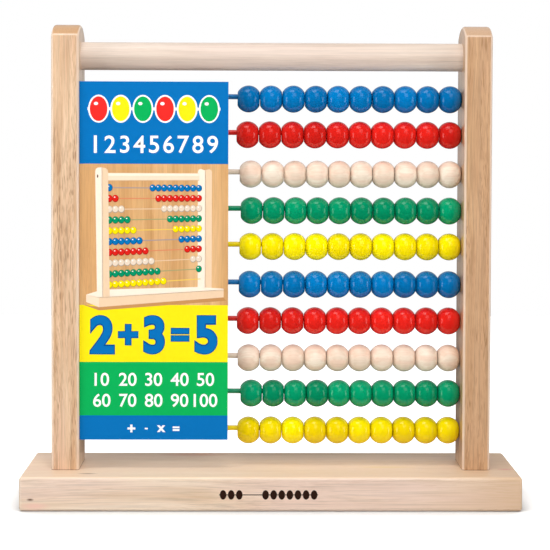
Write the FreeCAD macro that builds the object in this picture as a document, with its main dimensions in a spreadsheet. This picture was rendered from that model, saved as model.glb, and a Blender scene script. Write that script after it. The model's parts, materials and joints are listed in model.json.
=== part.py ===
import FreeCAD, Part
import math
import os
import Sketcher

# A child's counting frame: a base board, two posts and a round top rail, ten painted rods held in blind
# sockets in the posts, ten turned wooden beads on each rod, and a folded printed card against the left post.
# Frame: X along the base, Y from front to back, Z up. The origin is the middle of the base's underside.
# Every length is in millimetres.

SIZES = {
    # Base board.
    "base_length": 305.0,
    "base_depth": 75.0,
    "base_thickness": 20.8,
    "base_edge_round": 2.0,
    # Posts. The spacing is the clear distance between their inner faces.
    "post_spacing": 236.8,
    "post_thickness": 17.2,
    "post_depth": 34.0,
    "post_height": 275.2,
    "post_crown_radius": 24.0,
    "post_edge_round": 2.0,
    # Top rail, a dowel between the posts. Heights are above the floor.
    "rail_diameter": 17.3,
    "rail_axis_height": 276.7,
    # Rods. Their holes were drilled at slightly uneven heights.
    "rod_diameter": 3.2,
    "rod_height_row_01": 251.8,
    "rod_height_row_02": 229.5,
    "rod_height_row_03": 204.9,
    "rod_height_row_04": 182.1,
    "rod_height_row_05": 159.6,
    "rod_height_row_06": 135.9,
    "rod_height_row_07": 113.0,
    "rod_height_row_08": 89.6,
    "rod_height_row_09": 67.3,
    "rod_height_row_10": 44.0,
    "rod_chamfer": 0.4,
    "socket_depth": 8.0,
    "socket_clearance": 0.05,
    "socket_end_gap": 0.4,
    # Beads. Each row was turned to its own width. A bead's crown is an arc a little tighter than a ball's.
    "bead_diameter": 17.0,
    "bead_crown_radius": 7.8,
    "bead_bore": 6.2,
    "bead_edge_round": 1.5,
    "bead_gap": 0.1,
    "bead_post_gap": 0.15,
    "bead_rod_gap": 0.15,
    "bead_width_row_01": 13.88,
    "bead_width_row_02": 13.95,
    "bead_width_row_03": 13.73,
    "bead_width_row_04": 13.66,
    "bead_width_row_05": 13.74,
    "bead_width_row_06": 13.78,
    "bead_width_row_07": 13.89,
    "bead_width_row_08": 13.84,
    "bead_width_row_09": 13.65,
    "bead_width_row_10": 13.83,
    # Printed card, one sheet with a narrow flap folded back along the left post.
    "card_thickness": 0.5,
    "card_width": 91.5,
    "card_height": 221.2,
    "card_bottom_height": 39.3,
    "card_front": 15.0,
    "card_flap": 5.0,
    "card_fold_round": 0.7,
    "card_post_gap": 0.1,
    # Pan-head wood screws, in counterbored holes.
    "screw_shank": 4.0,
    "screw_head": 8.0,
    "screw_head_height": 2.8,
    "screw_head_slope": 1.2,
    "screw_tip": 5.0,
    "screw_clearance": 0.05,
    "screw_slot_width": 1.2,
    "screw_slot_length": 4.6,
    "screw_slot_depth": 1.6,
    "post_screw_length": 42.0,
    "rail_screw_length": 38.0,
    "post_screw_offset": 8.0,
    "counterbore_diameter": 9.5,
    "base_counterbore_depth": 6.0,
    "post_counterbore_depth": 4.5,
    "pilot_margin": 1.0,
}

ROW_COLOURS = ("blue", "red", "natural", "green", "yellow") * 2
BEADS_PER_ROW = 10
MAX_BEADS_PER_NODE = 3

V = FreeCAD.Vector
ORIGIN_POINT = (-1, 1)
X_AXIS_GEOMETRY = -1
Y_AXIS_GEOMETRY = -2
HALF_TURN = FreeCAD.Rotation(V(0, 0, 1), 180)
QUARTER_TURN_UP = FreeCAD.Rotation(V(0, 1, 0), 90)
QUARTER_TURN_DOWN = FreeCAD.Rotation(V(0, 1, 0), -90)


def fill_sheet(doc):
    """Put every driving dimension in a spreadsheet cell that carries its name."""
    sheet = doc.addObject("Spreadsheet::Sheet", "Sizes")
    for row, (name, size) in enumerate(SIZES.items(), start=1):
        sheet.set(f"A{row}", name)
        sheet.set(f"B{row}", str(size))
        sheet.setAlias(f"B{row}", name)
    doc.recompute()


def sized(expression):
    """Write bare dimension names as references to the sheet."""
    words = expression.replace("(", " ( ").replace(")", " ) ").split()
    return " ".join(f"Sizes.{word}" if word in SIZES else word for word in words)


def bind(owner, path, expression):
    owner.setExpression(path, sized(expression))


def value(owner, expression):
    """Evaluate an expression of dimension names to a plain number."""
    result = owner.evalExpression(sized(expression))
    return float(getattr(result, "Value", result))


def new_body(doc, label, several=False):
    body = doc.addObject("PartDesign::Body", label)
    body.Label = label
    body.AllowCompound = several
    return body


def place(body, x="0", y="0", z="0", rotation=None):
    if rotation:
        body.Placement = FreeCAD.Placement(V(0, 0, 0), rotation)
    for axis, expression in (("x", x), ("y", y), ("z", z)):
        if expression != "0":
            bind(body, f"Placement.Base.{axis}", expression)


def origin_feature(body, role):
    return next(item for item in body.Origin.OriginFeatures if item.Role == role)


def new_sketch(body, name, plane, offset="0"):
    """Attach a sketch to one of the body's origin planes, shifted along its normal by offset."""
    sketch = body.newObject("Sketcher::SketchObject", name)
    sketch.AttachmentSupport = (origin_feature(body, plane), [""])
    sketch.MapMode = "FlatFace"
    if offset != "0":
        bind(sketch, "AttachmentOffset.Base.z", offset)
    return sketch


def hold_distance(sketch, kind, axis_geometry, point, expression):
    """Fix one coordinate of a point, measured from the sketch's origin."""
    distance = value(sketch, expression)
    if abs(distance) < 1e-9:
        sketch.addConstraint(Sketcher.Constraint("PointOnObject", *point, axis_geometry))
        return
    ends = (*ORIGIN_POINT, *point) if distance > 0 else (*point, *ORIGIN_POINT)
    index = sketch.addConstraint(Sketcher.Constraint(kind, *ends, abs(distance)))
    sign = "" if distance > 0 else "-1 * "
    bind(sketch, f"Constraints[{index}]", f"{sign}( {expression} )")


def hold_point(sketch, point, x, y):
    hold_distance(sketch, "DistanceX", Y_AXIS_GEOMETRY, point, x)
    hold_distance(sketch, "DistanceY", X_AXIS_GEOMETRY, point, y)


def draw_outline(sketch, corners):
    """Draw a closed polygon. Each corner is a pair of expressions measured from the sketch's origin."""
    points = [V(value(sketch, x), value(sketch, y), 0) for x, y in corners]
    count = len(points)
    for index, start in enumerate(points):
        sketch.addGeometry(Part.LineSegment(start, points[(index + 1) % count]))
    for index, (x, y) in enumerate(corners):
        sketch.addConstraint(Sketcher.Constraint("Coincident", index, 2, (index + 1) % count, 1))
        hold_point(sketch, (index, 1), x, y)


def draw_circle(sketch, x, y, diameter):
    centre = V(value(sketch, x), value(sketch, y), 0)
    circle = Part.Circle(centre, V(0, 0, 1), value(sketch, diameter) / 2)
    geometry = sketch.addGeometry(circle)
    hold_point(sketch, (geometry, 3), x, y)
    index = sketch.addConstraint(Sketcher.Constraint("Diameter", geometry, 2 * circle.Radius))
    bind(sketch, f"Constraints[{index}]", diameter)


def pad(body, sketch, name, length):
    feature = body.newObject("PartDesign::Pad", name)
    feature.Profile = sketch
    bind(feature, "Length", length)
    body.Document.recompute()
    return feature


def pocket(body, sketch, name, length):
    """Cut the sketch into the solid, on whichever side of its plane the solid lies."""
    before = body.Shape.Volume
    feature = body.newObject("PartDesign::Pocket", name)
    feature.Profile = sketch
    bind(feature, "Length", length)
    body.Document.recompute()
    if before - body.Shape.Volume < 1e-3:
        feature.Reversed = True
        body.Document.recompute()
    assert body.Shape.Volume < before, f"{name} cuts nothing"
    return feature


def counterbored_hole(body, sketch, name, depth_to_shoulder):
    """Drill right through for a screw's shank, with a counterbore for its head at the sketch's side."""
    body.Document.recompute()
    before = body.Shape.Volume
    feature = body.newObject("PartDesign::Hole", name)
    feature.Profile = sketch
    feature.DepthType = "ThroughAll"
    bind(feature, "Diameter", "screw_shank + 2 * screw_clearance")
    feature.HoleCutType = "Counterbore"
    bind(feature, "HoleCutDiameter", "counterbore_diameter")
    bind(feature, "HoleCutDepth", depth_to_shoulder)
    body.Document.recompute()
    if before - body.Shape.Volume < 1e-3:
        feature.Reversed = True
        body.Document.recompute()
    assert body.Shape.Volume < before, f"{name} cuts nothing"
    return feature


def revolve(body, sketch, name, axis):
    feature = body.newObject("PartDesign::Revolution", name)
    feature.Profile = sketch
    feature.ReferenceAxis = (origin_feature(body, axis), [""])
    feature.Angle = 360
    body.Document.recompute()
    return feature


def repeat_along(body, features, name, axis, offset, count):
    """Repeat features in a straight line and make the pattern the body's result."""
    pattern = body.newObject("PartDesign::LinearPattern", name)
    pattern.Originals = features
    pattern.Direction = (origin_feature(body, axis), [""])
    pattern.Mode = "Spacing"
    pattern.Occurrences = count
    bind(pattern, "Offset", offset)
    body.Tip = pattern
    body.Document.recompute()
    return pattern


def round_edges(body, feature, name, radius, wanted):
    """Fillet the edges of a feature for which wanted(edge) is true."""
    edges = [f"Edge{number}" for number, edge in enumerate(feature.Shape.Edges, start=1) if wanted(edge)]
    assert edges, f"{name} has no edges"
    fillet = body.newObject("PartDesign::Fillet", name)
    fillet.Base = (feature, edges)
    bind(fillet, "Radius", radius)
    body.Document.recompute()
    return fillet


def make_base(doc):
    body = new_body(doc, "base_board")
    outline = new_sketch(body, "base_outline", "XY_Plane")
    half_length = "base_length / 2"
    half_depth = "base_depth / 2"
    draw_outline(outline, [
        (f"-1 * {half_length}", f"-1 * {half_depth}"),
        (half_length, f"-1 * {half_depth}"),
        (half_length, half_depth),
        (f"-1 * {half_length}", half_depth),
    ])
    board = pad(body, outline, "base_pad", "base_thickness")
    round_edges(body, board, "base_rounds", "base_edge_round", lambda edge: True)

    holes = new_sketch(body, "base_screw_centres", "XY_Plane")
    across = "post_spacing / 2 + post_thickness / 2"
    for side in ("", "-1 * "):
        for front_back in ("", "-1 * "):
            x = f"{side}( {across} )"
            y = f"{front_back}post_screw_offset"
            draw_circle(holes, x, y, "screw_shank")
    counterbored_hole(body, holes, "base_screw_holes", "base_counterbore_depth")
    return body


def draw_post_profile(sketch):
    """Draw a post seen from its side: a straight foot and sides under an arched top."""
    half = value(sketch, "post_depth") / 2
    radius = value(sketch, "post_crown_radius")
    middle = value(sketch, "post_height") - radius
    spring = math.acos(half / radius)
    shoulder = middle + radius * math.sin(spring)
    arch = Part.Circle(V(0, middle, 0), V(0, 0, 1), radius)
    foot, back, crown, front = sketch.addGeometry([
        Part.LineSegment(V(-half, 0, 0), V(half, 0, 0)),
        Part.LineSegment(V(half, 0, 0), V(half, shoulder, 0)),
        Part.ArcOfCircle(arch, spring, math.pi - spring),
        Part.LineSegment(V(-half, shoulder, 0), V(-half, 0, 0)),
    ])
    sketch.addConstraint([
        Sketcher.Constraint("Coincident", foot, 2, back, 1),
        Sketcher.Constraint("Coincident", back, 2, crown, 1),
        Sketcher.Constraint("Coincident", crown, 2, front, 1),
        Sketcher.Constraint("Coincident", front, 2, foot, 1),
        Sketcher.Constraint("Vertical", back),
        Sketcher.Constraint("Vertical", front),
    ])
    hold_point(sketch, (foot, 1), "-1 * post_depth / 2", "0")
    hold_point(sketch, (foot, 2), "post_depth / 2", "0")
    hold_point(sketch, (crown, 3), "0", "post_height - post_crown_radius")
    size = sketch.addConstraint(Sketcher.Constraint("Radius", crown, radius))
    bind(sketch, f"Constraints[{size}]", "post_crown_radius")


def make_post(doc, label, side):
    """Make one post. Its own frame has the inner face on the YZ plane and the post's foot at z = 0."""
    body = new_body(doc, label)
    profile = new_sketch(body, f"{label}_profile", "YZ_Plane")
    draw_post_profile(profile)
    block = pad(body, profile, f"{label}_pad", "post_thickness")
    round_edges(body, block, f"{label}_rounds", "post_edge_round", lambda edge: edge.BoundBox.ZMax > 1)

    sockets = new_sketch(body, f"{label}_socket_circles", "YZ_Plane")
    for row in range(1, len(ROW_COLOURS) + 1):
        height = f"{rod_height(row)} - base_thickness"
        draw_circle(sockets, "0", height, "rod_diameter + 2 * socket_clearance")
    pocket(body, sockets, f"{label}_sockets", "socket_depth")

    rail_hole = new_sketch(body, f"{label}_rail_screw_centre", "YZ_Plane", "post_thickness")
    draw_circle(rail_hole, "0", "rail_axis_height - base_thickness", "screw_shank")
    counterbored_hole(body, rail_hole, f"{label}_rail_screw_hole", "post_counterbore_depth")

    pilots = new_sketch(body, f"{label}_pilot_circles", "XY_Plane")
    for front_back in ("", "-1 * "):
        y = f"{front_back}post_screw_offset"
        draw_circle(pilots, "post_thickness / 2", y, "screw_shank + 2 * screw_clearance")
    reach = "post_screw_length + base_counterbore_depth - base_thickness + pilot_margin"
    pocket(body, pilots, f"{label}_pilot_holes", reach)

    if side < 0:
        place(body, x="-1 * post_spacing / 2", z="base_thickness", rotation=HALF_TURN)
    else:
        place(body, x="post_spacing / 2", z="base_thickness")
    return body


def make_rail(doc):
    """Make the top rail, with a pilot hole in each end for its screw."""
    body = new_body(doc, "top_rail")
    section = new_sketch(body, "rail_section", "YZ_Plane")
    draw_circle(section, "0", "0", "rail_diameter")
    pad(body, section, "rail_pad", "post_spacing")
    reach = "rail_screw_length + post_counterbore_depth - post_thickness + pilot_margin"
    for end, offset in (("left", "0"), ("right", "post_spacing")):
        pilot = new_sketch(body, f"rail_{end}_pilot_circle", "YZ_Plane", offset)
        draw_circle(pilot, "0", "0", "screw_shank + 2 * screw_clearance")
        pocket(body, pilot, f"rail_{end}_pilot_hole", reach)
    place(body, x="-1 * post_spacing / 2", z="rail_axis_height")
    return body


def rod_height(row):
    """Name the cell with the height of a row's rod."""
    return f"rod_height_row_{row:02d}"


def make_rod(doc, row, colour):
    body = new_body(doc, f"row_{row:02d}_{colour}_rod")
    section = new_sketch(body, f"rod_{row:02d}_section", "YZ_Plane")
    draw_circle(section, "0", "0", "rod_diameter")
    length = "( post_spacing + 2 * ( socket_depth - socket_end_gap ) )"
    wire = pad(body, section, f"rod_{row:02d}_pad", length)
    ends = body.newObject("PartDesign::Chamfer", f"rod_{row:02d}_ends")
    ends.Base = (wire, [f"Edge{n}" for n, edge in enumerate(wire.Shape.Edges, start=1)
                        if edge.BoundBox.XLength < 1e-6])
    bind(ends, "Size", "rod_chamfer")
    place(body, x=f"-1 * {length} / 2", z=rod_height(row))
    return body


def draw_bead_profile(sketch, width):
    """Draw half of a bead's section: an arched crown, rounded rims, flat ends and a straight bore."""
    half = value(sketch, width) / 2
    bore = value(sketch, "bead_bore") / 2
    arch = value(sketch, "bead_crown_radius")
    middle = value(sketch, "bead_diameter / 2 - bead_crown_radius")
    rim = value(sketch, "bead_edge_round")
    rim_rise = math.sqrt((arch - rim) ** 2 - (half - rim) ** 2)
    rim_height = middle + rim_rise
    turn = math.atan2(rim_rise, half - rim)
    normal = V(0, 0, 1)
    bore_line, right_flat, right_rim, crown, left_rim, left_flat = sketch.addGeometry([
        Part.LineSegment(V(-half, bore, 0), V(half, bore, 0)),
        Part.LineSegment(V(half, bore, 0), V(half, rim_height, 0)),
        Part.ArcOfCircle(Part.Circle(V(half - rim, rim_height, 0), normal, rim), 0, turn),
        Part.ArcOfCircle(Part.Circle(V(0, middle, 0), normal, arch), turn, math.pi - turn),
        Part.ArcOfCircle(Part.Circle(V(rim - half, rim_height, 0), normal, rim), math.pi - turn, math.pi),
        Part.LineSegment(V(-half, rim_height, 0), V(-half, bore, 0)),
    ])
    sketch.addConstraint([
        Sketcher.Constraint("Coincident", bore_line, 2, right_flat, 1),
        Sketcher.Constraint("Coincident", left_flat, 2, bore_line, 1),
        Sketcher.Constraint("Tangent", right_flat, 2, right_rim, 1),
        Sketcher.Constraint("Tangent", right_rim, 2, crown, 1),
        Sketcher.Constraint("Tangent", crown, 2, left_rim, 1),
        Sketcher.Constraint("Tangent", left_rim, 2, left_flat, 1),
        Sketcher.Constraint("Vertical", right_flat),
        Sketcher.Constraint("Vertical", left_flat),
        Sketcher.Constraint("Equal", right_rim, left_rim),
        Sketcher.Constraint("Symmetric", bore_line, 1, bore_line, 2, Y_AXIS_GEOMETRY),
    ])
    hold_point(sketch, (crown, 3), "0", "bead_diameter / 2 - bead_crown_radius")
    arch_size = sketch.addConstraint(Sketcher.Constraint("Radius", crown, arch))
    bind(sketch, f"Constraints[{arch_size}]", "bead_crown_radius")
    rim_size = sketch.addConstraint(Sketcher.Constraint("Radius", right_rim, rim))
    bind(sketch, f"Constraints[{rim_size}]", "bead_edge_round")
    hold_point(sketch, (bore_line, 2), f"{width} / 2", "bead_bore / 2")


def make_beads(doc, row, colour, first, last):
    """Make beads first to last of a row, counted from the left, pushed to the right and hanging on the rod."""
    name = f"row_{row:02d}_{colour}_bead_{first}"
    if last > first:
        name = f"row_{row:02d}_{colour}_beads_{first}_to_{last}"
    width = f"bead_width_row_{row:02d}"
    body = new_body(doc, name, several=True)
    section = new_sketch(body, f"{name}_section", "XZ_Plane")
    draw_bead_profile(section, width)
    bead = revolve(body, section, f"{name}_turned", "X_Axis")
    if last > first:
        repeat_along(body, [bead], f"{name}_set", "X_Axis", f"{width} + bead_gap", last - first + 1)
    steps_to_post = BEADS_PER_ROW - first
    x = f"post_spacing / 2 - bead_post_gap - {width} / 2 - {steps_to_post} * ( {width} + bead_gap )"
    hang = "( bead_bore / 2 - rod_diameter / 2 - bead_rod_gap )"
    place(body, x=x, z=f"{rod_height(row)} - {hang}")
    return body


def bead_spans(row):
    """Split a row where its own number of beads has slid away, then into sets small enough for one node."""
    spans = []
    for start, end in ((1, row), (row + 1, BEADS_PER_ROW)):
        for first in range(start, end + 1, MAX_BEADS_PER_NODE):
            spans.append((first, min(first + MAX_BEADS_PER_NODE - 1, end)))
    return spans


def make_card(doc):
    """Make the printed card: a front panel and a narrow flap folded back against the left post."""
    body = new_body(doc, "printed_card")
    section = new_sketch(body, "card_section", "XY_Plane")
    draw_outline(section, [
        ("0", "0"),
        ("card_width", "0"),
        ("card_width", "card_thickness"),
        ("card_thickness", "card_thickness"),
        ("card_thickness", "card_flap"),
        ("0", "card_flap"),
    ])
    sheet = pad(body, section, "card_pad", "card_height")
    upright = value(body, "card_height")

    def is_outer_fold(edge):
        box = edge.BoundBox
        return box.ZLength > upright - 1 and box.XMax < 1e-6 and box.YMax < 1e-6

    round_edges(body, sheet, "card_fold", "card_fold_round", is_outer_fold)
    place(body, x="card_post_gap - post_spacing / 2", y="-1 * card_front", z="card_bottom_height")
    return body


def cross_corners():
    """List the corners of the cross-shaped drive recess, one arm after another."""
    long_side = "screw_slot_length / 2"
    short_side = "screw_slot_width / 2"
    quarter = [(long_side, short_side), (short_side, short_side), (short_side, long_side)]
    corners = []
    for _ in range(4):
        corners += quarter
        quarter = [(f"-1 * {y}".replace("-1 * -1 * ", ""), x) for x, y in quarter]
    return corners


def make_screws(doc, label, length, several=False):
    """Make a screw along its own Z axis, with the top of its head at z = 0, or two of them side by side."""
    body = new_body(doc, label, several)
    section = new_sketch(body, f"{label}_section", "XZ_Plane")
    tip = f"screw_head_height + {length}"
    draw_outline(section, [
        ("0", "0"),
        ("screw_head / 2 - screw_head_slope", "0"),
        ("screw_head / 2", "screw_head_slope"),
        ("screw_head / 2", "screw_head_height"),
        ("screw_shank / 2", "screw_head_height"),
        ("screw_shank / 2", f"{tip} - screw_tip"),
        ("0", tip),
    ])
    turned = revolve(body, section, f"{label}_turned", "Z_Axis")
    recess = new_sketch(body, f"{label}_recess_outline", "XY_Plane")
    draw_outline(recess, cross_corners())
    cut = pocket(body, recess, f"{label}_recess", "screw_slot_depth")
    if several:
        repeat_along(body, [turned, cut], f"{label}_pair", "Y_Axis", "2 * post_screw_offset", 2)
    return body


def make_post_screws(doc, side, sign):
    """Make the two screws that go up through the base into a post."""
    body = make_screws(doc, f"{side}_post_screws", "post_screw_length", several=True)
    across = f"{sign}( post_spacing / 2 + post_thickness / 2 )"
    place(body, x=across, y="-1 * post_screw_offset", z="base_counterbore_depth - screw_head_height")
    return body


def make_rail_screw(doc, side, sign, turn):
    """Make the screw that goes through a post into the end of the rail."""
    body = make_screws(doc, f"{side}_rail_screw", "rail_screw_length")
    head = "( post_spacing / 2 + post_thickness - post_counterbore_depth + screw_head_height )"
    place(body, x=f"{sign}{head}", z="rail_axis_height", rotation=turn)
    return body


def check(doc, parts):
    for item in doc.Objects:
        bad = {"Invalid", "Error"} & set(item.State)
        assert not bad, f"{item.Label} is {bad}"
    for part in parts:
        shape = part.Shape
        assert not shape.isNull() and shape.isValid() and shape.Solids, f"{part.Label} has a bad shape"


def main():
    doc = FreeCAD.newDocument("CountingFrame")
    fill_sheet(doc)
    parts = [
        make_base(doc),
        make_post(doc, "left_post", -1),
        make_post(doc, "right_post", 1),
        make_rail(doc),
        make_card(doc),
    ]
    for side, sign, turn in (("left", "-1 * ", QUARTER_TURN_UP), ("right", "", QUARTER_TURN_DOWN)):
        parts.append(make_post_screws(doc, side, sign))
        parts.append(make_rail_screw(doc, side, sign, turn))
    for row, colour in enumerate(ROW_COLOURS, start=1):
        parts.append(make_rod(doc, row, colour))
        for first, last in bead_spans(row):
            parts.append(make_beads(doc, row, colour, first, last))
    doc.recompute()
    check(doc, parts)

    os.makedirs("parts", exist_ok=True)
    for part in parts:
        part.Shape.exportStep(f"parts/{part.Label}.step")
    solids = sum(len(part.Shape.Solids) for part in parts)
    print(f"{len(parts)} nodes, {solids} solids")


main()
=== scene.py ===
import json
import math
import random

import bmesh
import bpy
from mathutils import Matrix, Vector


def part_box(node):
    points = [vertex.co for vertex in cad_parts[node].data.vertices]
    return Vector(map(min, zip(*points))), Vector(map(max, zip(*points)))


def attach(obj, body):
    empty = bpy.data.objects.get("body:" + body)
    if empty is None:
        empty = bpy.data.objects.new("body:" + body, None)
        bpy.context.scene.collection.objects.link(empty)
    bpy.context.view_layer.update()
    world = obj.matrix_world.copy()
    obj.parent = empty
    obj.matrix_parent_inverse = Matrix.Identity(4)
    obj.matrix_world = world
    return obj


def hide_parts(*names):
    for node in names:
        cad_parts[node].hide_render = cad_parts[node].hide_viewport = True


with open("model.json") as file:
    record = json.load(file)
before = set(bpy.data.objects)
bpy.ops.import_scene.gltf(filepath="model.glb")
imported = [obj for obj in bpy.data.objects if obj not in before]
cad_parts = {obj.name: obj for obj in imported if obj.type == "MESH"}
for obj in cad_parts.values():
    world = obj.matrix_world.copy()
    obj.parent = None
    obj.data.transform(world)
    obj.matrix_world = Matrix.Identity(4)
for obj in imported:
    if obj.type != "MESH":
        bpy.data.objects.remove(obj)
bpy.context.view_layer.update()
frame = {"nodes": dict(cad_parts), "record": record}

# A child's counting frame. The CAD's base, posts, rail, rods, screws and card keep their shapes and get
# wood, paint, steel and board. The beads are turned again here one by one, each a little different from the
# others, and the card and the base get their print.
# Everything is in metres in the CAD's own frame, and MM turns a size in millimetres into metres.

MM = 0.001
BODIES = frame["record"]["behaviour"]["bodies"]


# ---------------------------------------------------------------- colours and nodes

def linear(red, green, blue):
    """Turn a screen colour, 0 to 255 each, into the linear colour that shaders use."""
    def channel(value):
        value /= 255
        return value / 12.92 if value <= 0.04045 else ((value + 0.055) / 1.055) ** 2.4
    return (channel(red), channel(green), channel(blue), 1.0)


def scaled(colour, factor):
    """The colour made darker or brighter by this factor."""
    return tuple(min(1.0, part * factor) for part in colour[:3]) + (1.0,)


PAINT = {
    "blue": linear(0, 112, 178),
    "red": linear(218, 32, 24),
    "natural": linear(231, 212, 191),
    "green": linear(0, 143, 97),
    "yellow": linear(253, 222, 0),
}
WHITE = (1.0, 1.0, 1.0, 1.0)


class Graph:
    """A material and a short way to add nodes to it.

    A value that is a socket is linked, and any other value is set.
    """

    def __init__(self, name):
        self.material = bpy.data.materials.new(name)
        self.material.use_nodes = True
        self.tree = self.material.node_tree
        self.tree.nodes.clear()
        self.shader = self.add("BsdfPrincipled")
        output = self.add("OutputMaterial")
        self.tree.links.new(self.shader.outputs[0], output.inputs["Surface"])

    def add(self, kind, inputs=None, **settings):
        node = self.tree.nodes.new("ShaderNode" + kind)
        for name, value in settings.items():
            setattr(node, name, value)
        for name, value in (inputs or {}).items():
            self.plug(node.inputs[name], value)
        return node

    def plug(self, socket, value):
        if isinstance(value, bpy.types.NodeSocket):
            self.tree.links.new(value, socket)
        else:
            socket.default_value = value

    def finish(self, **inputs):
        """Set the main shader's sockets: base_color means "Base Color"."""
        for name, value in inputs.items():
            words = name.replace("_", " ")
            socket = next(item for item in self.shader.inputs if item.name.lower() == words)
            self.plug(socket, value)
        return self.material

    def place(self, scale=(1, 1, 1), offset=(0, 0, 0)):
        """Coordinates in millimetres in the object's own frame, scaled and moved."""
        coords = self.add("TexCoord").outputs["Object"]
        size = [1000 * part for part in scale]
        mapping = self.add("Mapping", {"Vector": coords, "Scale": size, "Location": offset})
        return mapping.outputs[0]

    def noise(self, vector, scale, detail=2.0, roughness=0.5):
        inputs = {"Vector": vector, "Scale": scale, "Detail": detail, "Roughness": roughness}
        return self.add("TexNoise", inputs).outputs["Fac"]

    def ramp(self, factor, *stops):
        """A colour ramp. Each stop is a place and a colour or a grey level."""
        node = self.add("ValToRGB", {"Fac": factor})
        elements = node.color_ramp.elements
        while len(elements) < len(stops):
            elements.new(0.5)
        for element, (place, colour) in zip(elements, stops):
            element.position = place
            element.color = colour if isinstance(colour, tuple) else (colour, colour, colour, 1)
        return node.outputs["Color"]

    def mix(self, factor, first, second, blend="MIX"):
        node = self.add("Mix", data_type="RGBA", blend_type=blend)
        self.plug(node.inputs[0], factor)
        self.plug(node.inputs[6], first)
        self.plug(node.inputs[7], second)
        return node.outputs[2]

    def math(self, operation, first, second=0.0):
        node = self.add("Math", operation=operation)
        self.plug(node.inputs[0], first)
        self.plug(node.inputs[1], second)
        return node.outputs[0]

    def vector(self, operation, first, second):
        node = self.add("VectorMath", operation=operation)
        self.plug(node.inputs[0], first)
        self.plug(node.inputs[1], second)
        return node.outputs[0]

    def bump(self, height, depth_mm, strength):
        inputs = {"Height": height, "Distance": depth_mm * MM, "Strength": strength}
        return self.add("Bump", inputs).outputs[0]

    def attribute(self, name):
        return self.add("Attribute", attribute_name=name).outputs["Fac"]


# ---------------------------------------------------------------- materials

def along(grain, stretch):
    """The scale that stretches a texture along the grain: 0 is X, 1 is Y, 2 is Z."""
    scale = [1.0, 1.0, 1.0]
    scale[grain] = 1 / stretch
    return tuple(scale)


def cut_and_worn(graph, colour, grain, end_tone, edge_highlight_tone, edge_highlight_strength):
    """Wood's end tone where the surface cuts across the grain, and a paler painted highlight on the eased
    edges.

    An eased edge is where the surface faces between two axes.
    """
    axes = graph.add("SeparateXYZ", {"Vector": graph.add("TexCoord").outputs["Normal"]}).outputs
    facing = [graph.math("ABSOLUTE", axes[axis]) for axis in range(3)]
    end_grain = graph.ramp(facing[grain], (0.60, 0.0), (0.72, 1.0))
    stipple = graph.noise(graph.place(), 1.4, 2.0)
    end_colour = graph.ramp(stipple, (0.35, scaled(end_tone, 0.88)), (0.6, end_tone))
    colour = graph.mix(end_grain, colour, end_colour)
    squareness = graph.math("MAXIMUM", graph.math("MAXIMUM", facing[0], facing[1]), facing[2])
    # Painted highlight: the eased edges get a paler, whiter tone, as edges that catch the light look.
    edge_highlight_mask = graph.math("MULTIPLY", graph.ramp(squareness, (0.90, 1.0), (0.998, 0.0)), edge_highlight_strength)
    edge_highlight_mask = graph.math("MULTIPLY", edge_highlight_mask, graph.math("SUBTRACT", 1.0, end_grain))
    return graph.mix(edge_highlight_mask, colour, edge_highlight_tone)


def spotted(graph, colour, marks, threads):
    """Single spots of other tones over the colour, with edges that the grain's threads make uneven.

    Each mark is its middle and its reach along the axes in millimetres, its tone and its strength.
    """
    for centre, reach, tone, strength in marks:
        away = graph.vector("SUBTRACT", graph.place(), centre)
        away = graph.vector("DIVIDE", away, reach)
        distance = graph.add("VectorMath", {0: away}, operation="LENGTH").outputs["Value"]
        distance = graph.math("ADD", distance, graph.math("MULTIPLY", threads, 0.5))
        colour = graph.mix(graph.ramp(distance, (0.45, strength), (1.2, 0.0)), colour, tone)
    return colour


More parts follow.
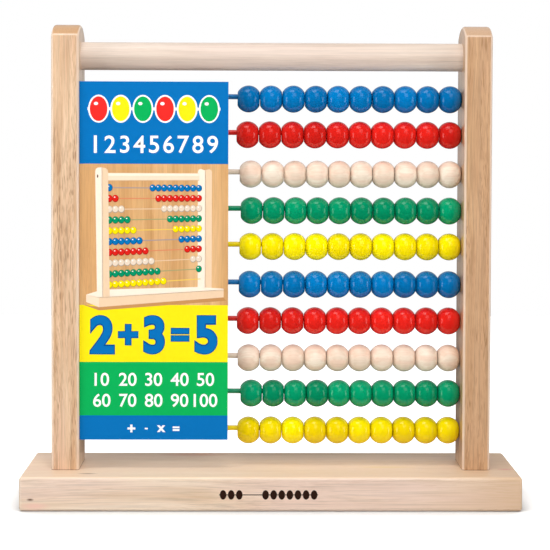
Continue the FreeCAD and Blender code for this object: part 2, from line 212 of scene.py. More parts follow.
def wood(name, grain, tones, pore_tone, end_tone, pores=0.5, seed=0.0, streak_mm=5.0, coat=0.6,
         lines=0.1, edge_highlight_strength=0.0, marks=()):
    """Lacquered wood with soft clouds of tone, streaks, fine fibres and short dark pores along the grain.

    The tones are its light, middle and dark streaks and the blush of its clouds. pores, lines and the edge
    amount, from 0 to 1, are how much its pores, its fine threads and the painted highlight on its eased
    edges show.
    """
    graph = Graph(name)
    offset = (seed, 2.7 * seed, 1.3 * seed)
    drift = graph.noise(graph.place(along(grain, 6), offset), 0.03, 1.0)
    wander = graph.math("MULTIPLY", graph.math("SUBTRACT", drift, 0.5), 9.0)

    def grained(stretch):
        return graph.vector("ADD", graph.place(along(grain, stretch), offset), wander)

    clouds = graph.noise(grained(7), 0.045, 2.0)
    streaks = graph.noise(grained(26), 1 / streak_mm, 4.0, 0.6)
    threads = graph.noise(grained(60), 1.1, 2.0, 0.5)
    fibres = graph.noise(grained(38), 1.9, 3.0, 0.6)
    flecks = graph.noise(grained(20), 2.6, 1.0, 0.4)
    bands = graph.noise(grained(12), 0.16, 1.0)
    pore = graph.math("MULTIPLY", graph.ramp(flecks, (0.53, 0.0), (0.62, 1.0)),
                      graph.ramp(bands, (0.38, 0.25), (0.60, 1.0)))

    light, middle, dark, blush = tones
    colour = graph.ramp(streaks, (0.30, dark), (0.47, middle), (0.66, light))
    colour = graph.mix(graph.ramp(clouds, (0.42, 0.0), (0.62, 0.75)), colour, blush)
    colour = graph.mix(1.0, colour, graph.ramp(threads, (0.32, 1 - lines), (0.52, 1.0)), "MULTIPLY")
    colour = graph.mix(0.8, colour, graph.ramp(fibres, (0.25, 0.88), (0.65, 1.0)), "MULTIPLY")
    colour = graph.mix(graph.math("MULTIPLY", pore, pores), colour, pore_tone)

    # The light tone mixed with white is the painted highlight on the eased edges.
    colour = cut_and_worn(graph, colour, grain, end_tone, graph.mix(0.35, light, WHITE), edge_highlight_strength)
    colour = spotted(graph, colour, marks, threads)

    rough = graph.math("ADD", graph.math("MULTIPLY", fibres, 0.16), 0.32)
    rough = graph.math("ADD", rough, graph.math("MULTIPLY", pore, 0.2))
    relief = graph.math("SUBTRACT", graph.math("MULTIPLY", fibres, 0.35), pore)
    return graph.finish(base_color=colour, roughness=rough, normal=graph.bump(relief, 0.03, 0.4),
                        coat_weight=coat, coat_roughness=0.16, ior=1.45)


def enamel(name, colour):
    """Thick gloss paint on a turned bead: a tint of its own for each bead and a faint orange peel."""
    graph = Graph(name)
    tint = graph.attribute("tint")
    shade = graph.mix(tint, scaled(colour, 0.80), scaled(colour, 1.16))
    mottle = graph.noise(graph.place(), 0.22, 2.0)
    shade = graph.mix(graph.ramp(mottle, (0.35, 0.0), (0.7, 0.15)), shade, scaled(colour, 0.84))
    peel = graph.noise(graph.place(), 0.45, 2.0)
    rough = graph.math("ADD", graph.math("MULTIPLY", mottle, 0.12), 0.24)
    return graph.finish(base_color=shade, roughness=rough, normal=graph.bump(peel, 0.03, 0.25),
                        coat_weight=0.9, coat_roughness=0.12, specular_ior_level=0.0)


def turned_wood(name, colour):
    """Bare bead wood under a clear lacquer: fine grain along the bore, another shade on each bead."""
    graph = Graph(name)
    tint = graph.attribute("tint")
    shift = graph.math("MULTIPLY", tint, 90.0)
    coords = graph.vector("ADD", graph.place((1 / 14, 1, 1)), shift)
    grain = graph.noise(coords, 0.9, 4.0, 0.6)
    bands = graph.noise(coords, 0.22, 2.0)
    pinkish = linear(236, 205, 182)
    pale = linear(243, 229, 210)
    shade = graph.mix(graph.ramp(tint, (0.2, 0.0), (0.8, 1.0)), colour, pale)
    shade = graph.mix(graph.ramp(bands, (0.42, 0.0), (0.62, 0.8)), shade, pinkish)
    shade = graph.mix(graph.ramp(grain, (0.35, 0.22), (0.6, 0.0)), shade, linear(196, 160, 124))
    rough = graph.math("ADD", graph.math("MULTIPLY", grain, 0.2), 0.34)
    return graph.finish(base_color=shade, roughness=rough, normal=graph.bump(grain, 0.03, 0.4),
                        coat_weight=0.55, coat_roughness=0.14, ior=1.45)


def rod_paint(name, colour):
    """Gloss paint on a thin rod, rubbed a little where the beads slide."""
    graph = Graph(name)
    rub = graph.noise(graph.place(along(0, 20)), 1.2, 3.0)
    runs = graph.noise(graph.place(along(0, 6)), 0.3, 2.0)
    shade = graph.mix(graph.ramp(runs, (0.3, 0.0), (0.7, 0.5)), scaled(colour, 0.8), scaled(colour, 1.1))
    shade = graph.mix(graph.ramp(rub, (0.55, 0.0), (0.75, 0.22)), shade, linear(205, 205, 205))
    rough = graph.math("ADD", graph.math("MULTIPLY", rub, 0.2), 0.2)
    return graph.finish(base_color=shade, roughness=rough, normal=graph.bump(rub, 0.01, 0.5),
                        coat_weight=0.8, coat_roughness=0.08, specular_ior_level=0.1)


def zinc(name):
    """Zinc-plated steel with a spangle and fine turning marks."""
    graph = Graph(name)
    spangle = graph.noise(graph.place(), 0.9, 3.0)
    marks = graph.noise(graph.place(), 6.0, 2.0)
    shade = graph.ramp(spangle, (0.3, linear(150, 152, 156)), (0.7, linear(208, 208, 204)))
    rough = graph.math("ADD", graph.math("MULTIPLY", marks, 0.25), 0.2)
    return graph.finish(base_color=shade, roughness=rough, normal=graph.bump(marks, 0.02, 0.4),
                        metallic=1.0)


def paperboard(name):
    """The card's own stock: white, slightly fibrous, with a soft tooth."""
    graph = Graph(name)
    fibre = graph.noise(graph.place((1, 1, 0.4)), 1.6, 4.0, 0.6)
    cloud = graph.noise(graph.place(), 0.05, 2.0)
    shade = graph.ramp(fibre, (0.3, linear(226, 223, 216)), (0.6, linear(246, 245, 241)))
    shade = graph.mix(graph.ramp(cloud, (0.4, 0.0), (0.7, 0.25)), shade, linear(232, 228, 220))
    rough = graph.math("ADD", graph.math("MULTIPLY", fibre, 0.2), 0.5)
    return graph.finish(base_color=shade, roughness=rough, normal=graph.bump(fibre, 0.03, 0.5))


def ink(name, colour):
    """Offset ink: faint mottle in the colour and a paper tooth in the satin surface."""
    graph = Graph(name)
    mottle = graph.noise(graph.place(), 0.5, 4.0, 0.6)
    tooth = graph.noise(graph.place(), 3.5, 2.0)
    shade = graph.mix(graph.ramp(mottle, (0.35, 0.0), (0.7, 0.5)), colour, scaled(colour, 0.93))
    rough = graph.math("ADD", graph.math("MULTIPLY", tooth, 0.15), 0.42)
    return graph.finish(base_color=shade, roughness=rough, normal=graph.bump(tooth, 0.01, 0.4),
                        specular_ior_level=0.10)


def dress(node, material):
    """Give a CAD node's object this material."""
    for slot in frame["nodes"][node].material_slots:
        slot.link = "OBJECT"
        slot.material = material


# ---------------------------------------------------------------- meshes

def new_object(name, mesh, *materials, smooth=False):
    for material in materials:
        mesh.materials.append(material)
    for polygon in mesh.polygons:
        polygon.use_smooth = smooth
    thing = bpy.data.objects.new(name, mesh)
    bpy.context.scene.collection.objects.link(thing)
    return thing


def arc(centre, radius, start, end, steps):
    """Points on an arc, in degrees from the first axis."""
    angles = [math.radians(start + (end - start) * step / steps) for step in range(steps + 1)]
    return [(centre[0] + radius * math.cos(a), centre[1] + radius * math.sin(a)) for a in angles]


def lathe(builder, profile, turns, place):
    """Turn a closed profile of (along X, out from X) points about the X axis and put it at place."""
    rings = []
    for step in range(turns):
        angle = 2 * math.pi * step / turns
        ring = [place @ Vector((x, r * math.cos(angle), r * math.sin(angle))) for x, r in profile]
        rings.append([builder.verts.new(point) for point in ring])
    for step, ring in enumerate(rings):
        other = rings[(step + 1) % turns]
        for index in range(len(profile)):
            ahead = (index + 1) % len(profile)
            builder.faces.new((ring[index], ring[ahead], other[ahead], other[index]))
    return rings


# ---------------------------------------------------------------- beads

BEAD_GAP = 0.1 * MM
BEAD_TURNS = 48
CROWN_RADIUS = 7.8 * MM
RIM = 1.5 * MM
BORE_CHAMFER = 0.35 * MM
BORE_RADIUS = 3.1 * MM

# How much one bead differs from the next: its radius and width against the CAD's, and its tilt in degrees.
RADIUS_SPREAD = (0.990, 1.0)
WIDTH_SPREAD = (0.984, 0.997)
TILT_SPREAD = (-0.9, 0.9)


def bead_profile(width, radius):
    """Half a bead's section: an arched crown, rounded rims, flat ends and a bore with eased mouths."""
    half = width / 2
    middle = radius - CROWN_RADIUS
    rim_rise = math.sqrt((CROWN_RADIUS - RIM) ** 2 - (half - RIM) ** 2)
    turn = math.degrees(math.atan2(rim_rise, half - RIM))
    right_rim = arc((half - RIM, middle + rim_rise), RIM, 0, turn, 4)
    crown = arc((0, middle), CROWN_RADIUS, turn, 180 - turn, 22)
    left_rim = arc((RIM - half, middle + rim_rise), RIM, 180 - turn, 180, 4)
    bore = [(-half, BORE_RADIUS + BORE_CHAMFER), (BORE_CHAMFER - half, BORE_RADIUS),
            (half - BORE_CHAMFER, BORE_RADIUS), (half, BORE_RADIUS + BORE_CHAMFER)]
    return right_rim + crown[1:-1] + left_rim + bore


def bead_places(nodes):
    """Each bead's colour, centre, width and radius, from the names and boxes of the nodes that hold them.

    A name such as row_04_green_beads_5_to_7 says the colour, the first bead and the last one.
    """
    for node in nodes:
        words = node.split("_")
        count = int(words[-1]) - int(words[4]) + 1
        low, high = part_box(node)
        width = (high.x - low.x - (count - 1) * BEAD_GAP) / count
        for index in range(count):
            x = low.x + width / 2 + index * (width + BEAD_GAP)
            centre = Vector((x, (low.y + high.y) / 2, (low.z + high.z) / 2))
            yield words[2], centre, width, (high.z - low.z) / 2


def make_bead_row(body, nodes, materials):
    """Turn one body's beads, each with a size, tilt and tint of its own, as turned and dipped beads have."""
    chance = random.Random(body)
    builder = bmesh.new()
    tint_layer = builder.verts.layers.float.new("tint")
    for colour, centre, width, radius in bead_places(nodes):
        radius *= chance.uniform(*RADIUS_SPREAD)
        width *= chance.uniform(*WIDTH_SPREAD)
        tilt = Matrix.Rotation(math.radians(chance.uniform(*TILT_SPREAD)), 4, "Y")
        swing = Matrix.Rotation(math.radians(chance.uniform(*TILT_SPREAD)), 4, "Z")
        spin = Matrix.Rotation(chance.uniform(0, math.tau), 4, "X")
        tint = chance.random()
        place = Matrix.Translation(centre) @ tilt @ swing @ spin
        for ring in lathe(builder, bead_profile(width, radius), BEAD_TURNS, place):
            for vertex in ring:
                vertex[tint_layer] = tint
    bmesh.ops.recalc_face_normals(builder, faces=builder.faces)
    mesh = bpy.data.meshes.new(body)
    builder.to_mesh(mesh)
    builder.free()
    piece = new_object("turned_" + body, mesh, materials[colour], smooth=True)
    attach(piece, body)
    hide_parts(*nodes)


def make_beads():
    materials = {name: enamel("enamel_" + name, colour) for name, colour in PAINT.items()
                 if name != "natural"}
    materials["natural"] = turned_wood("turned_natural_wood", PAINT["natural"])
    for body, nodes in BODIES.items():
        if body.endswith("_beads"):
            make_bead_row(body, nodes, materials)


# ---------------------------------------------------------------- frame, rods and screws

BASE_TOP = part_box("base_board")[1].z / MM

# Marks for spotted(), measured from the middle of the base's underside.
BASE_MARKS = (
    # The top painted paler, which is painted light, and the tan right end.
    ((0, 0, BASE_TOP), (600, 600, 1.6), linear(248, 216, 184), 0.6),
    ((170, 0, 10), (115, 400, 400), linear(205, 171, 136), 0.8),
    # Painted shade: a darker, warmer strip along the back of the top, where the card and the beads shade it.
    ((-20, 38, BASE_TOP), (260, 18, 4.0), linear(204, 166, 126), 0.6),
    # A small knot near the left end of the front, and the pink patch round it.
    ((-145.6, -37.5, 7.2), (3.6, 3.0, 1.3), linear(92, 60, 40), 0.95),
    ((-143, -37.5, 3.0), (14, 4.0, 4.0), linear(232, 180, 168), 0.55),
    # Streaks and patches on the top: dark, orange, light and pink.
    ((-112, -27, BASE_TOP), (9, 3.0, 3.0), linear(164, 124, 94), 0.8),
    ((-50, 30, BASE_TOP), (34, 10, 4.0), linear(212, 146, 112), 0.7),
    ((72, -8, BASE_TOP), (26, 5.0, 3.0), linear(230, 200, 140), 0.6),
    ((146, -14, BASE_TOP), (8, 3.2, 3.0), linear(208, 134, 124), 0.8),
)


def foot_line(post):
    """The dark line round a post's foot, where it stands on the base: partly glue in the joint, partly
    painted contact shadow.
    """
    low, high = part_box(post)
    middle = (low + high) / 2 / MM
    return (middle.x, middle.y, BASE_TOP), (60, 60, 0.9), linear(104, 70, 46), 0.9


def dress_frame():
    """The woods, the screws' steel and the rods' paints."""
    base_tones = (linear(235, 214, 192), linear(226, 200, 174), linear(212, 182, 152), linear(229, 201, 186))
    rail_tones = (linear(228, 212, 197), linear(222, 203, 187), linear(209, 188, 171), linear(220, 199, 186))
    left_tones = (linear(236, 204, 170), linear(225, 188, 152), linear(204, 160, 119), linear(228, 190, 162))
    right_tones = (linear(214, 174, 134), linear(201, 159, 117), linear(181, 137, 95), linear(203, 160, 122))
    base = wood("base_wood", 0, base_tones, linear(174, 135, 102), linear(209, 185, 162), pores=0.16,
                seed=3.0, streak_mm=4.5, coat=0.12, lines=0.16, edge_highlight_strength=0.15, marks=BASE_MARKS)
    rail = wood("rail_wood", 0, rail_tones, linear(184, 154, 128), linear(207, 189, 174), pores=0.12,
                seed=11.0, coat=0.15)
    left = wood("left_post_wood", 2, left_tones, linear(146, 102, 68), linear(203, 158, 114), pores=0.65,
                seed=21.0, streak_mm=3.2, lines=0.18, edge_highlight_strength=0.5, marks=[foot_line("left_post")])
    right = wood("right_post_wood", 2, right_tones, linear(146, 104, 66), linear(203, 165, 132), pores=0.65,
                 seed=37.0, streak_mm=3.2, lines=0.22, edge_highlight_strength=0.7, marks=[foot_line("right_post")])
    steel = zinc("zinc_plate")
    dress("base_board", base)
    dress("top_rail", rail)
    dress("left_post", left)
    dress("right_post", right)
    for node in BODIES["frame"]:
        if "screw" in node:
            dress(node, steel)
    paints = {name: rod_paint("rod_paint_" + name, colour) for name, colour in PAINT.items()}
    for node in BODIES["rods"]:
        dress(node, paints[node.split("_")[2]])


# ---------------------------------------------------------------- printing

LAYER = 0.05 * MM
PLATE_BACK = 0.02
OVAL_STEPS = 28


class Print:
    """Flat closed plates of ink on a face that looks towards -Y, all in one mesh.

    Places are in millimetres from the face's top left corner: across to the right and down. A plate's back
    is just off the face, and its level says how many layers its front stands out, so that a plate with
    a higher level covers one with a lower level.
    """

    def __init__(self, name, corner, inks):
        self.name = name
        self.corner = Vector(corner)
        self.inks = inks
        self.names = list(inks)
        self.builder = bmesh.new()

    def at(self, across, down, level):
        return self.corner + Vector((across * MM, -level * LAYER, -down * MM))

    def face(self, outline, ink_name, level=1):
        """A plate with this outline."""
        back = [self.builder.verts.new(self.at(x, y, PLATE_BACK)) for x, y in outline]
        front = [self.builder.verts.new(self.at(x, y, level)) for x, y in outline]
        faces = [self.builder.faces.new(front), self.builder.faces.new(list(reversed(back)))]
        for index in range(len(outline)):
            ahead = (index + 1) % len(outline)
            faces.append(self.builder.faces.new((front[index], back[index], back[ahead], front[ahead])))
        for item in faces:
            item.material_index = self.names.index(ink_name)

    def box(self, left, top, right, bottom, ink_name, level=1):
        self.face([(left, top), (right, top), (right, bottom), (left, bottom)], ink_name, level)

    def oval(self, across, down, half_width, half_height, ink_name, level=1, steps=OVAL_STEPS):
        ring = arc((0, 0), 1, 0, 360, steps)[:-1]
        outline = [(across + half_width * x, down + half_height * y) for x, y in ring]
        self.face(outline, ink_name, level)

    def figures(self, text, middle, top, bottom, ink_name, level=1, weight=0.0, stretch=1.0):
        """Figures in the built-in font, centred across on middle. weight makes their strokes heavier."""
        curve = bpy.data.curves.new("figures", "FONT")
        curve.body = text
        curve.offset = weight
        curve.extrude = 0.5
        curve.resolution_u = 6
        holder = bpy.data.objects.new("figures", curve)
        mesh = bpy.data.meshes.new_from_object(holder)
        xs = [vertex.co.x for vertex in mesh.vertices]
        ys = [vertex.co.y for vertex in mesh.vertices]
        size = (bottom - top) / (max(ys) - min(ys))
        before = set(self.builder.faces)
        first = len(self.builder.verts)
        self.builder.from_mesh(mesh)
        self.builder.verts.ensure_lookup_table()
        for vertex in self.builder.verts[first:]:
            across = middle + size * stretch * (vertex.co.x - (min(xs) + max(xs)) / 2)
            down = bottom - size * (vertex.co.y - min(ys))
            vertex.co = self.at(across, down, level if vertex.co.z > 0 else PLATE_BACK)
        for item in self.builder.faces:
            if item not in before:
                item.material_index = self.names.index(ink_name)
        bpy.data.objects.remove(holder)
        bpy.data.curves.remove(curve)
        bpy.data.meshes.remove(mesh)

    def make(self, body):
        bmesh.ops.recalc_face_normals(self.builder, faces=self.builder.faces)
        mesh = bpy.data.meshes.new(self.name)
        self.builder.to_mesh(mesh)
        self.builder.free()
        piece = new_object(self.name, mesh, *self.inks.values())
        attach(piece, body)


# Where the card's bands end, in millimetres down from its top edge.
BLUE_END = 50.6
PICTURE_END = 137.6
YELLOW_END = 172.9
GREEN_END = 206.1


def card_inks():
    colours = {
        "card_blue": linear(0, 110, 181),
        "card_yellow": linear(248, 227, 18),
        "card_green": linear(5, 172, 86),
        "card_red": linear(232, 44, 38),
        "card_white": linear(250, 250, 250),
        "card_navy": linear(0, 74, 140),
    }
    return {name: ink(name, colour) for name, colour in colours.items()}


def print_bands(card, width, height):
    card.box(0, 0, width, BLUE_END, "card_blue")
    card.box(0, PICTURE_END, width, YELLOW_END, "card_yellow")
    card.box(0, YELLOW_END, width, GREEN_END, "card_green")
    card.box(0, GREEN_END, width, height, "card_blue")


def print_headline(card, width):
    """A wire with six round beads on it over a line of figures, in place of a name and its words."""
    margin = 5.0
    wire = 16.8
    card.box(margin, wire - 0.9, width - margin, wire + 0.9, "card_white", 2)
    tones = ("card_red", "card_yellow", "card_green")
    for index in range(6):
        across = margin + (width - 2 * margin) * (index + 0.5) / 6
        card.oval(across, wire, 6.4, 8.6, "card_white", 3)
        card.oval(across, wire, 5.4, 7.6, tones[index % 3], 4)
        card.oval(across - 1.6, wire - 3.2, 1.3, 1.0, "card_white", 5)
    first, spacing, top, bottom = 9.8, 9.0, 33.2, 43.9
    for number in range(1, 10):
        middle = first + (number - 1) * spacing
        card.figures(str(number), middle, top, bottom, "card_white", 2, weight=0.01)


def print_sum(card):
    """A large sum on the yellow band, each figure with a dark edge."""
    edge = 0.5
    stretch = 0.95
    places = (("2", 14.0, 144.3, 167.8), ("+", 30.0, 149.8, 162.2), ("3", 46.0, 144.3, 167.8),
              ("=", 62.0, 152.2, 159.8), ("5", 78.0, 144.3, 167.8))
    for text, middle, top, bottom in places:
        card.figures(text, middle, top - edge, bottom + edge, "card_navy", 2, 0.055, stretch)
        card.figures(text, middle, top, bottom, "card_blue", 3, 0.03, stretch)


def print_counts(card, width):
    """Two lines of round numbers on the green band, and four signs on the band below."""
    spacing = 16.0
    height = 8.2
    for first, down in ((10, 179.6), (60, 192.6)):
        for index in range(5):
            number = str(first + 10 * index)
            middle = width / 2 + (index - 2) * spacing
            card.figures(number, middle, down, down + height, "card_white", 2, weight=0.012)
    signs = (("+", 32.0, 211.8, 216.6), ("-", 41.2, 213.8, 214.7), ("x", 50.4, 212.2, 216.4),
             ("=", 59.6, 212.9, 215.7))
    for text, middle, top, bottom in signs:
        card.figures(text, middle, top, bottom, "card_white", 2, weight=0.03)


# ---------------------------------------------------------------- the card's small picture

# The picture shows a counting frame from its left. Places are in millimetres across the card and down from
# the picture's top. ROW_ENDS has the place across of each post, and how far down the first and the last row
# meet it. The near beads, at the left, are a little further apart than the far ones. SMALL_BEAD is half
# a bead's width and half its height.
ROW_ENDS = {"left": (18.4, 14.7, 74.6), "right": (73.5, 14.9, 70.8)}
NEAR_STEP = 3.70
FAR_STEP = 3.56
SMALL_BEAD = (1.95, 2.2)


def picture_inks():
    colours = {
        "cream_light": linear(250, 232, 212),
        "cream": linear(243, 218, 190),
        "cream_mid": linear(236, 204, 170),
        "cream_dark": linear(222, 184, 146),
        "picture_shade": linear(196, 142, 88),
        "hole": linear(96, 64, 42),
    }
    inks = {name: ink(name, colour) for name, colour in colours.items()}
    plank = linear(222, 180, 130)
    for name, colour in PAINT.items():
        faded = tuple((paint + under) / 2 for paint, under in zip(colour, plank))
        inks["dot_" + name] = ink("dot_" + name, colour)
        inks["dot_dark_" + name] = ink("dot_dark_" + name, scaled(colour, 0.55))
        inks["line_" + name] = ink("line_" + name, faded)
    inks["glint"] = ink("glint", linear(252, 250, 246))
    return inks


def row_line(row):
    """The two ends of a row's rod in the picture."""
    part = (row - 1) / 9
    left_x, left_top, left_bottom = ROW_ENDS["left"]
    right_x, right_top, right_bottom = ROW_ENDS["right"]
    left_y = left_top + (left_bottom - left_top) * part
    right_y = right_top + (right_bottom - right_top) * part
    return (left_x, left_y), (right_x, right_y)


def print_small_row(picture, row, colour):
    """One row with its own number of beads slid to the left."""
    (left_x, left_y), (right_x, right_y) = row_line(row)
    half_rod = 0.28
    rod = [(left_x - 1, left_y - half_rod), (right_x + 1, right_y - half_rod),
           (right_x + 1, right_y + half_rod), (left_x - 1, left_y + half_rod)]
    picture.face(rod, "line_" + colour, 3)
    for index in range(10):
        if index < row:
            across = left_x + index * NEAR_STEP
        else:
            across = right_x - (9 - index) * FAR_STEP
        part = (across - left_x) / (right_x - left_x)
        down = left_y + (right_y - left_y) * part
        size = 1.04 - 0.08 * part
        half_width, half_height = SMALL_BEAD[0] * size, SMALL_BEAD[1] * size
        picture.oval(across, down, half_width, half_height, "dot_dark_" + colour, 4, 20)
        half_width, half_height = 0.88 * half_width, 0.86 * half_height
        picture.oval(across - 0.1, down - 0.18, half_width, half_height, "dot_" + colour, 5, 20)
        picture.oval(across - 0.45, down - 0.85, 0.42, 0.34, "glint", 6, 12)


def print_small_frame(picture):
    """The base with its shadow and the rail, with the faces that a view from the left shows."""
    picture.face([(3.4, 87.0), (11.5, 88.2), (88.4, 82.0), (90.6, 84.2), (12.0, 90.4), (2.8, 87.2)],
                 "picture_shade", 2)
    picture.face([(4.3, 80.6), (13.8, 77.6), (72.5, 75.8), (88.6, 76.8), (88.8, 77.6), (12.0, 82.6)],
                 "cream_light", 3)
    picture.face([(12.0, 82.4), (88.8, 77.4), (88.8, 82.2), (12.0, 88.4)], "cream_mid", 3)
    picture.face([(4.1, 80.6), (12.0, 82.4), (12.0, 88.4), (4.1, 85.2)], "cream", 3)
    picture.face([(17.6, 5.6), (73.6, 5.7), (73.6, 10.2), (17.6, 10.6)], "cream", 4)
    picture.face([(17.6, 5.9), (73.6, 6.0), (73.6, 7.3), (17.6, 7.4)], "cream_light", 5)
    picture.face([(17.6, 10.0), (73.6, 9.7), (73.6, 10.2), (17.6, 10.6)], "cream_dark", 5)


def print_small_right_post(picture):
    """The far post stands behind the last beads, so it is printed before them."""
    side = [(72.8, 78.2), (72.8, 4.6), (73.4, 3.4), (74.6, 3.0), (77.4, 4.0), (77.4, 79.0)]
    front = [(77.2, 79.0), (77.2, 3.6), (80.0, 3.2), (81.2, 4.0), (81.4, 5.2), (81.4, 78.2)]
    picture.face(side, "cream_light", 2)
    picture.face(front, "cream_mid", 2)


def print_small_left_post(picture):
    """The near post covers the ends of the rows."""
    side = [(10.8, 81.4), (9.7, 4.8), (10.1, 3.2), (11.2, 2.4), (13.9, 2.2), (14.4, 82.4)]
    front = [(14.2, 82.4), (13.7, 2.2), (16.0, 2.6), (17.3, 3.6), (17.6, 5.0), (18.6, 82.0)]
    picture.face(side, "cream_light", 7)
    picture.face(front, "cream_mid", 7)
    picture.oval(11.2, 7.6, 0.45, 1.0, "hole", 8, 16)


def make_card_print():
    """The card's bands and figures, and its small picture of a frame on a wooden ground."""
    low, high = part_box("printed_card")
    corner = (low.x, low.y, high.z)
    width = (high.x - low.x) / MM
    height = (high.z - low.z) / MM
    card = Print("card_print", corner, card_inks())
    print_bands(card, width, height)
    print_headline(card, width)
    print_sum(card)
    print_counts(card, width)
    card.make("card")

    top = (low.x, low.y, high.z - BLUE_END * MM)
    tones = (linear(232, 186, 132), linear(222, 172, 114), linear(205, 152, 94), linear(218, 166, 110))
    plank = wood("picture_plank", 2, tones, linear(186, 134, 80), linear(205, 152, 94), pores=0.2, seed=51.0,
                 streak_mm=6.0)
    ground = Print("picture_ground", top, {"picture_plank": plank})
    ground.box(0, 0, width, PICTURE_END - BLUE_END, "picture_plank")
    ground.make("card")

    picture = Print("picture_print", top, picture_inks())
    print_small_right_post(picture)
    print_small_frame(picture)
    for row, colour in enumerate(("blue", "red", "natural", "green", "yellow") * 2, start=1):
        print_small_row(picture, row, colour)
    print_small_left_post(picture)
    picture.make("card")
    dress("printed_card", paperboard("card_stock"))


def make_base_mark():
    """A small burnt mark on the base's front: a wire with three beads at its left and seven at its right."""
    low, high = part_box("base_board")
    left_of_middle = 1.5
    middle = (high.x - low.x) / 2 / MM - left_of_middle
    down = 10.6
    half_span = 30.0
    half_wire = 0.3
    step = 4.9
    gap = 2 * half_span - 10 * step
    mark = Print("base_mark", (low.x, low.y, high.z), {"burnt": ink("burnt_line", linear(44, 24, 16))})
    mark.box(middle - half_span, down - half_wire, middle + half_span, down + half_wire, "burnt", 0.3)
    for index in range(10):
        slid = 0 if index < 3 else gap
        mark.oval(middle - half_span + (index + 0.5) * step + slid, down, 2.0, 2.9, "burnt", 0.4)
    mark.make("frame")


# ---------------------------------------------------------------- stage, lights and camera

FLOOR_GLOW = 0.8
FLOOR_DROP = 0.2 * MM
SHADOW_REACH = 45 * MM


def make_floor():
    """A pale floor just under the base, with a glow of its own that only the camera sees.

    The glow and the lights make it white, but for the shadow close round the base, where the glow fades.
    """
    mesh = bpy.data.meshes.new("floor")
    half = 1.0
    mesh.from_pydata([(-half, -half, 0), (half, -half, 0), (half, half, 0), (-half, half, 0)], [],
                     [(0, 1, 2, 3)])
    graph = Graph("floor_white")
    seen = graph.add("LightPath").outputs["Is Camera Ray"]
    open_sky = graph.add("AmbientOcclusion", {"Distance": SHADOW_REACH}).outputs["AO"]
    glow = graph.math("MULTIPLY", seen, graph.ramp(open_sky, (0.5, 0.0), (0.8, 0.38), (1.0, FLOOR_GLOW)))
    white = graph.finish(base_color=(0.72, 0.72, 0.72, 1), roughness=0.9, emission_color=WHITE,
                         emission_strength=glow)
    floor = new_object("floor", mesh, white)
    floor.location.z = -FLOOR_DROP
    floor.visible_glossy = False


def make_light(name, direction, distance, size, radiance):
    """A soft light this far from the middle of the frame, facing it. size is its width and height."""
    middle = Vector((0, 0, 0.15))
    data = bpy.data.lights.new(name, "AREA")
    data.shape = "RECTANGLE"
    data.size, data.size_y = size
    data.energy = radiance * math.pi * size[0] * size[1]
    light = bpy.data.objects.new(name, data)
    light.location = middle + distance * Vector(direction).normalized()
    light.rotation_euler = (middle - light.location).to_track_quat("-Z", "Y").to_euler()
    bpy.context.scene.collection.objects.link(light)
    return light


def make_lights():
    """Broad glows light the matt surfaces. Gloss mirrors only the gleams, which hang a little nearer."""
    glows = (
        ("top_glow", (-0.10, -0.30, 0.95), 1.2, (0.60, 0.50), 8.8),
        ("front_glow", (0.14, -0.90, 0.42), 1.4, (0.90, 0.80), 4.2),
        ("left_glow", (-0.91, -0.38, 0.02), 1.2, (0.40, 0.80), 9.5),
        ("right_glow", (0.91, -0.38, 0.02), 1.2, (0.40, 0.80), 6.0),
        ("back_glow", (0.0, 0.50, 0.86), 1.2, (0.90, 0.60), 0.8),
    )
    gleams = (
        ("top_gleam", (-0.16, -0.25, 0.95), 1.1, (0.56, 0.44), 2.6),
        ("front_gleam", (0.14, -0.74, 0.66), 1.3, (0.60, 0.60), 1.3),
        ("left_gleam", (-0.91, -0.38, 0.02), 1.1, (0.24, 0.72), 2.4),
        ("right_gleam", (0.91, -0.38, 0.02), 1.1, (0.24, 0.72), 2.0),
    )
    for settings in glows:
        make_light(*settings).visible_glossy = False
    for settings in gleams:
        make_light(*settings).visible_diffuse = False


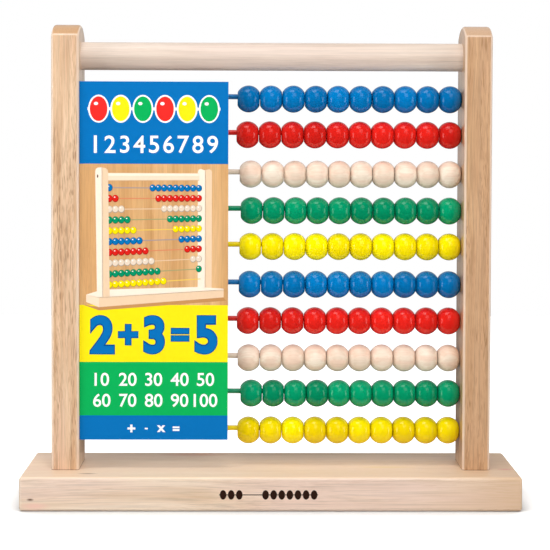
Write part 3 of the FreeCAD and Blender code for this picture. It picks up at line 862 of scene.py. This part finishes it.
def make_world():
    """A white studio, dim on the camera's side and below the floor, but white to the camera."""
    world = bpy.data.worlds.new("studio")
    bpy.context.scene.world = world
    world.use_nodes = True
    tree = world.node_tree
    tree.nodes.clear()

    def add(kind, **values):
        node = tree.nodes.new("ShaderNode" + kind)
        for name, value in values.items():
            socket = node.inputs[name.replace("_", " ")]
            if isinstance(value, bpy.types.NodeSocket):
                tree.links.new(value, socket)
            else:
                socket.default_value = value
        return node

    axes = add("SeparateXYZ", Vector=add("TexCoord").outputs["Generated"]).outputs
    behind = add("MapRange", Value=axes["Y"], From_Min=-0.4, From_Max=0.9, To_Min=0.04, To_Max=0.6)
    above = add("MapRange", Value=axes["Z"], From_Min=-0.25, From_Max=0.05, To_Min=0.1, To_Max=1.0)
    for node in (behind, above):
        node.interpolation_type = "SMOOTHSTEP"
    strength = add("Math")
    strength.operation = "MULTIPLY"
    tree.links.new(behind.outputs[0], strength.inputs[0])
    tree.links.new(above.outputs[0], strength.inputs[1])
    lighting = add("Background", Color=WHITE, Strength=strength.outputs[0])
    seen = add("Background", Color=WHITE, Strength=1.0)
    mix = add("MixShader", Fac=add("LightPath").outputs["Is Camera Ray"])
    tree.links.new(lighting.outputs[0], mix.inputs[1])
    tree.links.new(seen.outputs[0], mix.inputs[2])
    add("OutputWorld", Surface=mix.outputs[0])


# The camera's place in metres, and its turns in degrees.
CAMERA_PLACE = (-0.0103, -0.9526, 0.2235)
TURN_RIGHT = 0.75
TILT_DOWN = 1.89
ROLL = 0.21


def make_camera():
    """A long lens, almost square to the frame, a little left of its middle and three quarters up it."""
    data = bpy.data.cameras.new("camera")
    data.lens = 99.7
    data.sensor_width = 36.0
    data.shift_y = -0.15
    data.clip_start, data.clip_end = 0.05, 20.0
    camera = bpy.data.objects.new("camera", data)
    bpy.context.scene.collection.objects.link(camera)
    turn = Matrix.Rotation(math.radians(-TURN_RIGHT), 4, "Z")
    pitch = Matrix.Rotation(math.radians(90 - TILT_DOWN), 4, "X")
    roll = Matrix.Rotation(math.radians(ROLL), 4, "Z")
    camera.matrix_world = Matrix.Translation(CAMERA_PLACE) @ turn @ pitch @ roll
    bpy.context.scene.camera = camera


make_camera()
make_world()
make_lights()
make_floor()
dress_frame()
make_beads()
make_card_print()
make_base_mark()
bpy.context.scene.view_settings.view_transform = "Standard"

bpy.context.view_layer.update()
